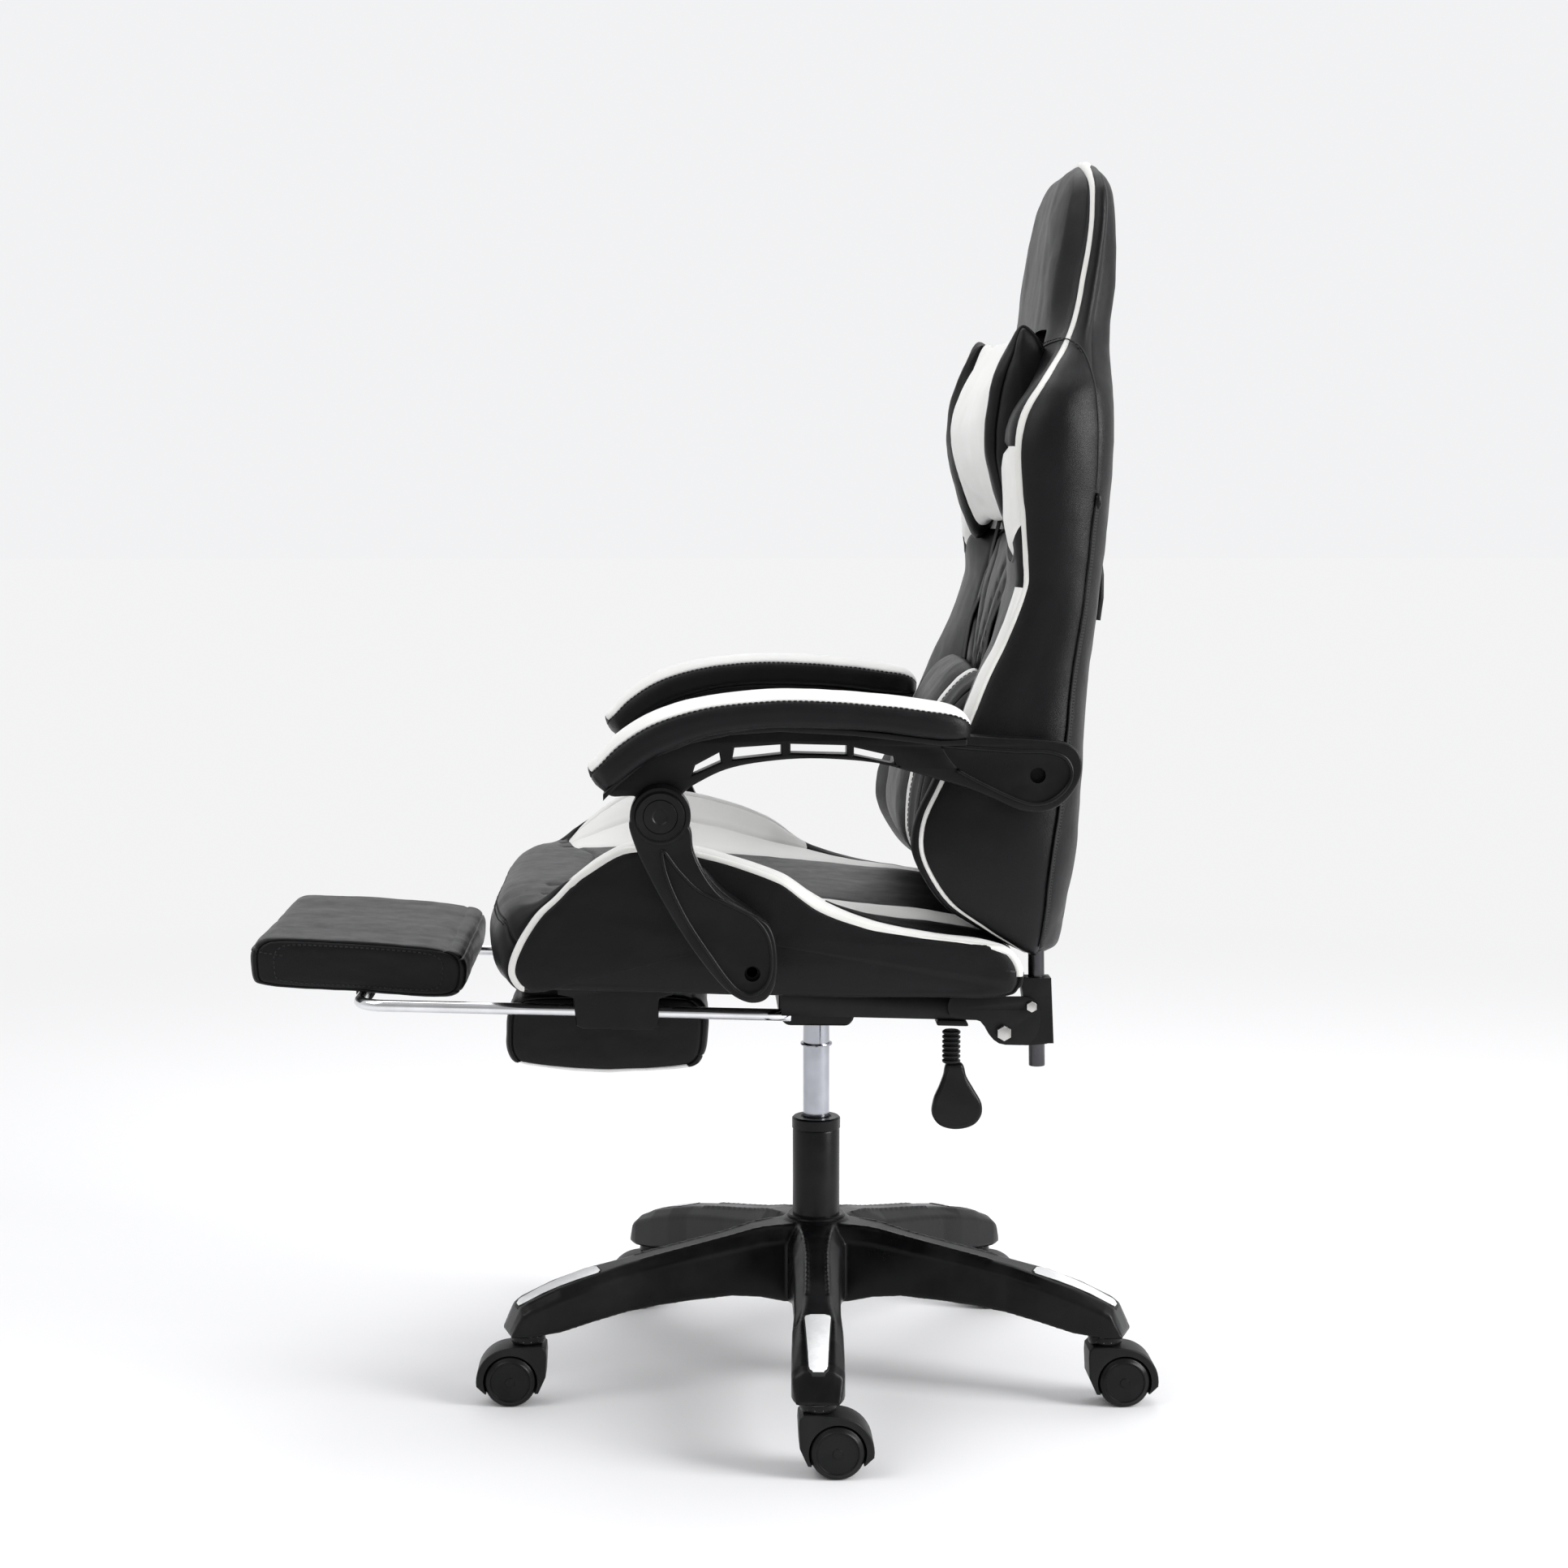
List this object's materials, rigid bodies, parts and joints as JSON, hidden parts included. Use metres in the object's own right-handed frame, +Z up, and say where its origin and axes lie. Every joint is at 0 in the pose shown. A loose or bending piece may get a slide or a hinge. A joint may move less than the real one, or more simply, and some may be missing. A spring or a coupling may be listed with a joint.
{
  "type": "gaming chair",
  "caption": "Swivel gaming chair with a bucket back, linked armrests, slide-out footrest, neck and lumbar pillows, gas lift and caster base.",
  "frame": {"origin": "on the floor under the middle of the chair's overall box; the swivel axis is 109 mm behind it along +Y", "axes": "+Z up; the chair faces -Y; +X is the sitter's left"},
  "size_m": [0.696, 0.9191, 1.259],
  "materials": {
    "black_leather": "satin grained polyurethane leather",
    "white_leather": "satin grained polyurethane leather",
    "nylon": "fine textured moulded nylon",
    "tread": "smooth moulded wheel",
    "chrome": "bright",
    "black_steel": "black powder coat",
    "zinc": "zinc plated"
  },
  "bodies": {
    "base": {"base_star": "nylon", "gas_lift_tube": "nylon", "gas_lift_collar": "nylon", "base_retaining_clip": "zinc"},
    "column": {"gas_lift_piston": "chrome"},
    "seat": {"tilt_mechanism": "black_steel", "seat_frame": "black_steel", "recline_plate_left": "black_steel", "recline_plate_right": "black_steel", "recline_pivot_bolt_left": "zinc", "recline_pivot_bolt_right": "zinc", "recline_lock_bolt_left": "zinc", "recline_lock_bolt_right": "zinc", "lever_housing": "nylon", "footrest_guide_left": "nylon", "footrest_guide_right": "nylon", "calf_pad_bracket": "black_steel", "seat_cushion": "black_leather"},
    "back": {"recline_socket_left": "black_steel", "recline_socket_right": "black_steel", "back_tube_left": "zinc", "back_tube_right": "zinc", "backrest_cushion": "black_leather", "head_pillow": "white_leather", "lumbar_pillow": "black_leather", "strap_buckle": "nylon"},
    "lever": {"lever_sleeve": "nylon", "lever_grip": "nylon"},
    "footrest": {"footrest_frame": "chrome"},
    "foot_pad": {"footrest_bracket": "black_steel", "footrest_pad": "black_leather"},
    "calf_rest": {"calf_pad": "black_leather"},
    "arm_left": {"arm_pad_left": "black_leather", "arm_frame_left": "nylon"},
    "arm_right": {"arm_pad_right": "black_leather", "arm_frame_right": "nylon"},
    "support_left": {"arm_support_left": "nylon", "arm_pivot_cap_left": "nylon"},
    "support_right": {"arm_support_right": "nylon", "arm_pivot_cap_right": "nylon"},
    "caster_1": {"caster_1_stem": "zinc", "caster_1_hood": "nylon"},
    "caster_1_wheel_a": {"caster_1_wheel_a": "tread"},
    "caster_1_wheel_b": {"caster_1_wheel_b": "tread"},
    "caster_2": {"caster_2_stem": "zinc", "caster_2_hood": "nylon"},
    "caster_2_wheel_a": {"caster_2_wheel_a": "tread"},
    "caster_2_wheel_b": {"caster_2_wheel_b": "tread"},
    "caster_3": {"caster_3_stem": "zinc", "caster_3_hood": "nylon"},
    "caster_3_wheel_a": {"caster_3_wheel_a": "tread"},
    "caster_3_wheel_b": {"caster_3_wheel_b": "tread"},
    "caster_4": {"caster_4_stem": "zinc", "caster_4_hood": "nylon"},
    "caster_4_wheel_a": {"caster_4_wheel_a": "tread"},
    "caster_4_wheel_b": {"caster_4_wheel_b": "tread"},
    "caster_5": {"caster_5_stem": "zinc", "caster_5_hood": "nylon"},
    "caster_5_wheel_a": {"caster_5_wheel_a": "tread"},
    "caster_5_wheel_b": {"caster_5_wheel_b": "tread"}
  },
  "joints": [
    {"name": "lift", "type": "slide", "parent": "base", "child": "column", "axis": [0, 0, 1], "range_m": [-0.07, 0]},
    {"name": "swivel", "type": "hinge", "parent": "column", "child": "seat", "pos_m": [0, 0.109, 0.4], "axis": [0, 0, 1], "continuous": true},
    {"name": "recline", "type": "hinge", "parent": "seat", "child": "back", "pos_m": [0, 0.282, 0.414], "axis": [-1, 0, 0], "range_deg": [0, 50]},
    {"name": "lever_pull", "type": "hinge", "parent": "seat", "child": "lever", "pos_m": [0.215, 0.232, 0.416], "axis": [0, -1, 0], "range_deg": [0, 35], "stiffness_Nm_per_rad": 1.5, "springref_deg": -11.46},
    {"name": "footrest_slide", "type": "slide", "parent": "seat", "child": "footrest", "axis": [0, -0.9996, 0.03], "range_m": [0, 0.1]},
    {"name": "foot_pad_flip", "type": "hinge", "parent": "footrest", "child": "foot_pad", "pos_m": [0, -0.355, 0.436], "axis": [1, 0, 0], "range_deg": [0, 180]},
    {"name": "calf_rest_swing", "type": "hinge", "parent": "seat", "child": "calf_rest", "pos_m": [0, -0.191, 0.4], "axis": [-1, 0, 0], "range_deg": [0, 90]},
    {"name": "arm_hinge_left", "type": "hinge", "parent": "back", "child": "arm_left", "pos_m": [0.284, 0.305, 0.674], "axis": [-1, 0, 0], "range_deg": [-34, 0]},
    {"name": "support_hinge_left", "type": "hinge", "parent": "seat", "child": "support_left", "pos_m": [0.284, 0.033, 0.49], "axis": [-1, 0, 0], "range_deg": [0, 72]},
    {"name": "arm_hinge_right", "type": "hinge", "parent": "back", "child": "arm_right", "pos_m": [-0.284, 0.305, 0.674], "axis": [-1, 0, 0], "range_deg": [-34, 0]},
    {"name": "support_hinge_right", "type": "hinge", "parent": "seat", "child": "support_right", "pos_m": [-0.284, 0.033, 0.49], "axis": [-1, 0, 0], "range_deg": [0, 72]},
    {"name": "caster_1_swivel", "type": "hinge", "parent": "base", "child": "caster_1", "pos_m": [0.31474, 0.09609, 0.066], "axis": [0, 0, 1], "continuous": true},
    {"name": "caster_1_roll_a", "type": "hinge", "parent": "caster_1", "child": "caster_1_wheel_a", "pos_m": [0.31474, 0.11409, 0.0265], "axis": [1, 0, 0], "continuous": true},
    {"name": "caster_1_roll_b", "type": "hinge", "parent": "caster_1", "child": "caster_1_wheel_b", "pos_m": [0.31474, 0.11409, 0.0265], "axis": [1, 0, 0], "continuous": true},
    {"name": "caster_2_swivel", "type": "hinge", "parent": "base", "child": "caster_2", "pos_m": [0.10954, 0.40434, 0.066], "axis": [0, 0, 1], "continuous": true},
    {"name": "caster_2_roll_a", "type": "hinge", "parent": "caster_2", "child": "caster_2_wheel_a", "pos_m": [0.10954, 0.42234, 0.0265], "axis": [1, 0, 0], "continuous": true},
    {"name": "caster_2_roll_b", "type": "hinge", "parent": "caster_2", "child": "caster_2_wheel_b", "pos_m": [0.10954, 0.42234, 0.0265], "axis": [1, 0, 0], "continuous": true},
    {"name": "caster_3_swivel", "type": "hinge", "parent": "base", "child": "caster_3", "pos_m": [-0.24704, 0.30444, 0.066], "axis": [0, 0, 1], "continuous": true},
    {"name": "caster_3_roll_a", "type": "hinge", "parent": "caster_3", "child": "caster_3_wheel_a", "pos_m": [-0.24704, 0.32244, 0.0265], "axis": [1, 0, 0], "continuous": true},
    {"name": "caster_3_roll_b", "type": "hinge", "parent": "caster_3", "child": "caster_3_wheel_b", "pos_m": [-0.24704, 0.32244, 0.0265], "axis": [1, 0, 0], "continuous": true},
    {"name": "caster_4_swivel", "type": "hinge", "parent": "base", "child": "caster_4", "pos_m": [-0.26222, -0.06555, 0.066], "axis": [0, 0, 1], "continuous": true},
    {"name": "caster_4_roll_a", "type": "hinge", "parent": "caster_4", "child": "caster_4_wheel_a", "pos_m": [-0.26222, -0.08355, 0.0265], "axis": [1, 0, 0], "continuous": true},
    {"name": "caster_4_roll_b", "type": "hinge", "parent": "caster_4", "child": "caster_4_wheel_b", "pos_m": [-0.26222, -0.08355, 0.0265], "axis": [1, 0, 0], "continuous": true},
    {"name": "caster_5_swivel", "type": "hinge", "parent": "base", "child": "caster_5", "pos_m": [0.08498, -0.19432, 0.066], "axis": [0, 0, 1], "continuous": true},
    {"name": "caster_5_roll_a", "type": "hinge", "parent": "caster_5", "child": "caster_5_wheel_a", "pos_m": [0.08498, -0.21232, 0.0265], "axis": [1, 0, 0], "continuous": true},
    {"name": "caster_5_roll_b", "type": "hinge", "parent": "caster_5", "child": "caster_5_wheel_b", "pos_m": [0.08498, -0.21232, 0.0265], "axis": [1, 0, 0], "continuous": true}
  ],
  "couplings": [
    {"joint": "arm_hinge_left", "follows": "recline", "ratio": -0.665},
    {"joint": "support_hinge_left", "follows": "recline", "ratio": 1.42},
    {"joint": "arm_hinge_right", "follows": "recline", "ratio": -0.665},
    {"joint": "support_hinge_right", "follows": "recline", "ratio": 1.42}
  ]
}
